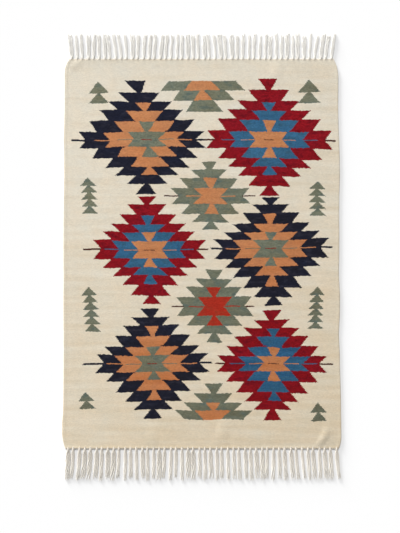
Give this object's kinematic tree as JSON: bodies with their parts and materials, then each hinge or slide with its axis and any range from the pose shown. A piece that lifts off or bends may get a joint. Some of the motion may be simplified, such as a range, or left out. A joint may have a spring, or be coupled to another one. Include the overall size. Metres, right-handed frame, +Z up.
{
  "type": "kilim rug",
  "caption": "Flat rectangular flatwoven rug with nested stepped lozenges on a cream ground and a knotted fringe at each end.",
  "frame": {"origin": "on the floor, under the middle of the whole rug with its fringes", "axes": "+X across the rug, +Y along it towards the short fringe, +Z up from the floor"},
  "size_m": [0.913, 1.4598, 0.0054],
  "materials": {
    "wool_weave": "matt weft-faced wool weave in cream, navy, red, blue, orange and green",
    "warp_fringe": "matt off-white loosely twisted warp yarn"
  },
  "bodies": {
    "root": {"woven_field": "wool_weave", "short_fringe": "warp_fringe", "long_fringe": "warp_fringe"}
  },
  "joints": []
}
